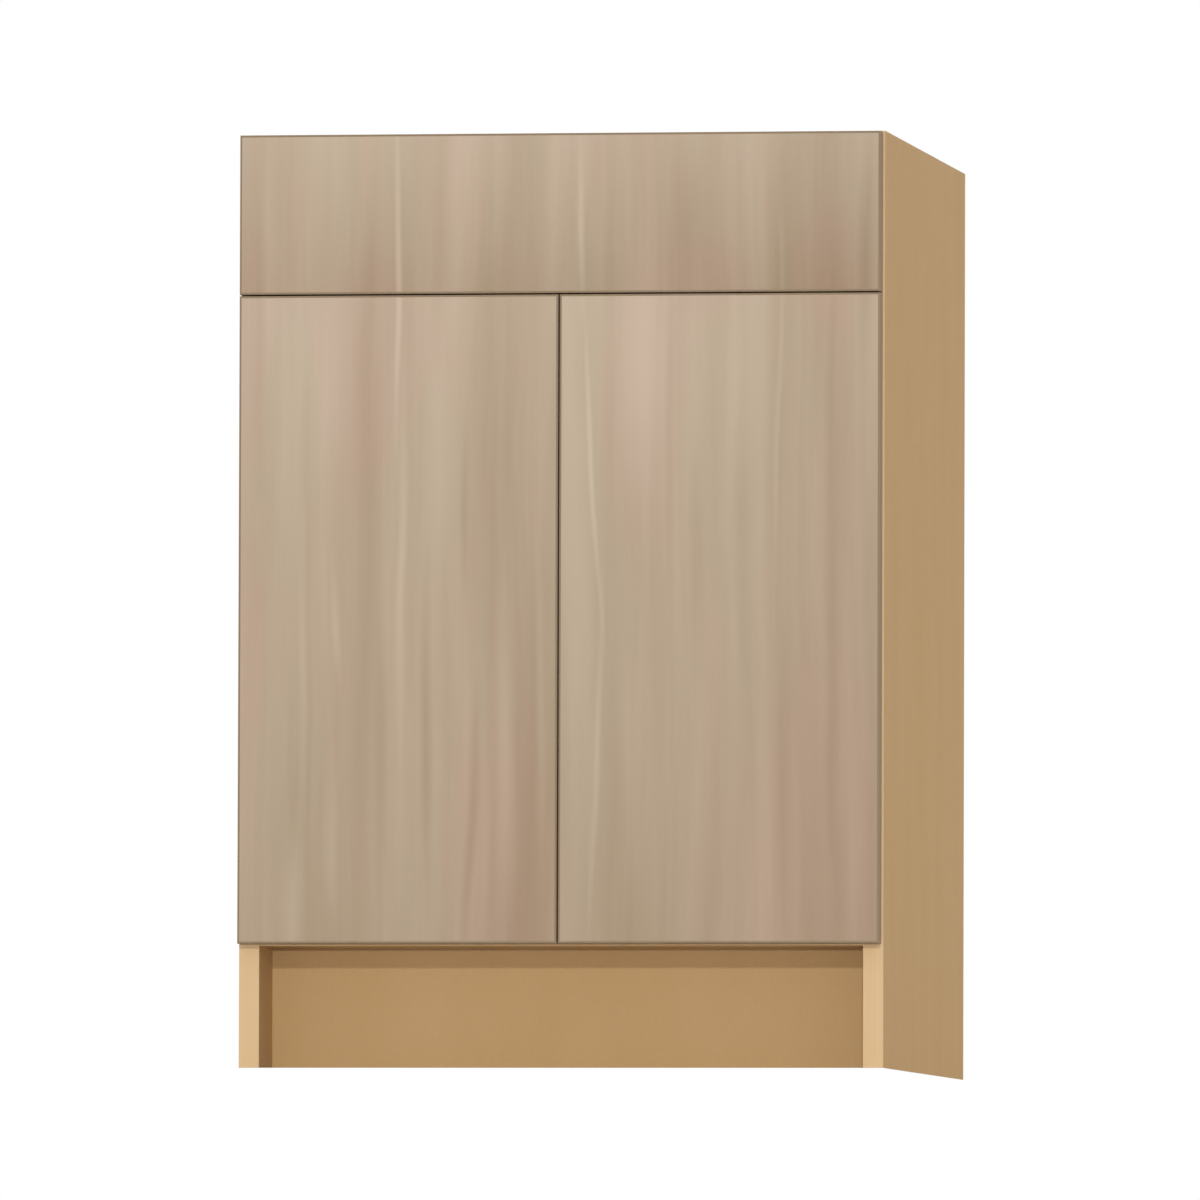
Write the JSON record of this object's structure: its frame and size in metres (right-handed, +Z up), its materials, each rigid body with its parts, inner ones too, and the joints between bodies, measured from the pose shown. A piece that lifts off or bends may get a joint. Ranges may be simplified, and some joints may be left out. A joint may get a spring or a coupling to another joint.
{
  "type": "kitchen base cabinet",
  "caption": "Frameless floor-standing kitchen base cabinet with a full-width drawer above a pair of flat doors, a recessed toe kick and no handles.",
  "frame": {"origin": "on the floor under the middle of the cabinet, measured over the fronts", "axes": "+Z up, +Y towards the wall, +X to the right seen from the front"},
  "size_m": [0.6096, 0.6096, 0.8763],
  "materials": {
    "carcass_board": "tan melamine on board",
    "carcass_edge_band": "pale maple edge band",
    "front_laminate": "matte woodgrain laminate, grain upright",
    "front_edge_band": "matte edge band a little darker than the fronts",
    "drawer_box_wood": "clear birch",
    "hinge_steel": "nickel-plated steel",
    "slide_steel": "zinc-plated steel",
    "bumper_rubber": "clear soft pads"
  },
  "bodies": {
    "cabinet": {"left_side_panel": "carcass_board", "right_side_panel": "carcass_board", "side_panel_edge_bands": "carcass_edge_band", "bottom_panel": "carcass_board", "front_stretcher": "carcass_board", "rear_stretcher": "carcass_board", "drawer_divider_rail": "carcass_board", "toe_kick_board": "carcass_board", "lower_nailer": "carcass_board", "upper_nailer": "carcass_board", "rail_edge_bands": "carcass_edge_band", "back_panel": "carcass_board", "adjustable_shelf": "carcass_board", "shelf_edge_band": "carcass_edge_band", "shelf_pins": "hinge_steel", "hinge_arms": "hinge_steel", "hinge_plates": "hinge_steel", "slide_cabinet_members": "slide_steel"},
    "drawer": {"drawer_front": "front_laminate", "drawer_front_edge_bands": "front_edge_band", "drawer_bumpers": "bumper_rubber", "drawer_left_side": "drawer_box_wood", "drawer_right_side": "drawer_box_wood", "drawer_box_front": "drawer_box_wood", "drawer_box_back": "drawer_box_wood", "drawer_bottom": "drawer_box_wood", "slide_drawer_members": "slide_steel"},
    "slide_middles": {"slide_intermediate_members": "slide_steel"},
    "outer_retainers": {"slide_outer_ball_retainers": "slide_steel"},
    "inner_retainers": {"slide_inner_ball_retainers": "slide_steel"},
    "left_door": {"left_door_panel": "front_laminate", "left_door_edge_bands": "front_edge_band", "left_door_bumpers": "bumper_rubber", "left_hinge_cups": "hinge_steel"},
    "left_front_links": {"left_hinge_front_links": "hinge_steel"},
    "left_rear_links": {"left_hinge_rear_links": "hinge_steel"},
    "right_door": {"right_door_panel": "front_laminate", "right_door_edge_bands": "front_edge_band", "right_door_bumpers": "bumper_rubber", "right_hinge_cups": "hinge_steel"},
    "right_front_links": {"right_hinge_front_links": "hinge_steel"},
    "right_rear_links": {"right_hinge_rear_links": "hinge_steel"}
  },
  "joints": [
    {"name": "drawer_slide", "type": "slide", "parent": "cabinet", "child": "drawer", "axis": [0, -1, 0], "range_m": [0, 0.48]},
    {"name": "slide_middle_run", "type": "slide", "parent": "cabinet", "child": "slide_middles", "axis": [0, -1, 0], "range_m": [0, 0.24]},
    {"name": "outer_retainer_run", "type": "slide", "parent": "cabinet", "child": "outer_retainers", "axis": [0, -1, 0], "range_m": [0, 0.12]},
    {"name": "inner_retainer_run", "type": "slide", "parent": "cabinet", "child": "inner_retainers", "axis": [0, -1, 0], "range_m": [0, 0.36]},
    {"name": "left_front_link_pivot", "type": "hinge", "parent": "cabinet", "child": "left_front_links", "pos_m": [-0.2686, -0.28215, 0.4193], "axis": [0, 0, -1], "range_deg": [-22.7, 0]},
    {"name": "left_door_hinge", "type": "hinge", "parent": "left_front_links", "child": "left_door", "pos_m": [-0.2919, -0.29365, 0.4193], "axis": [0, 0, -1], "range_deg": [0, 122.7]},
    {"name": "left_rear_link_pivot", "type": "hinge", "parent": "cabinet", "child": "left_rear_links", "pos_m": [-0.26676, -0.27526, 0.4193], "axis": [0, 0, -1], "range_deg": [-34.6, 0]},
    {"name": "right_front_link_pivot", "type": "hinge", "parent": "cabinet", "child": "right_front_links", "pos_m": [0.2686, -0.28215, 0.4193], "axis": [0, 0, 1], "range_deg": [-22.7, 0]},
    {"name": "right_door_hinge", "type": "hinge", "parent": "right_front_links", "child": "right_door", "pos_m": [0.2919, -0.29365, 0.4193], "axis": [0, 0, 1], "range_deg": [0, 122.7]},
    {"name": "right_rear_link_pivot", "type": "hinge", "parent": "cabinet", "child": "right_rear_links", "pos_m": [0.26676, -0.27526, 0.4193], "axis": [0, 0, 1], "range_deg": [-34.6, 0]}
  ],
  "couplings": [
    {"joint": "slide_middle_run", "follows": "drawer_slide", "ratio": 0.5},
    {"joint": "outer_retainer_run", "follows": "drawer_slide", "ratio": 0.25},
    {"joint": "inner_retainer_run", "follows": "drawer_slide", "ratio": 0.75},
    {"joint": "left_front_link_pivot", "follows": "left_door_hinge", "ratio": -0.185},
    {"joint": "left_rear_link_pivot", "follows": "left_door_hinge", "ratio": -0.28199},
    {"joint": "right_front_link_pivot", "follows": "right_door_hinge", "ratio": -0.185},
    {"joint": "right_rear_link_pivot", "follows": "right_door_hinge", "ratio": -0.28199}
  ]
}
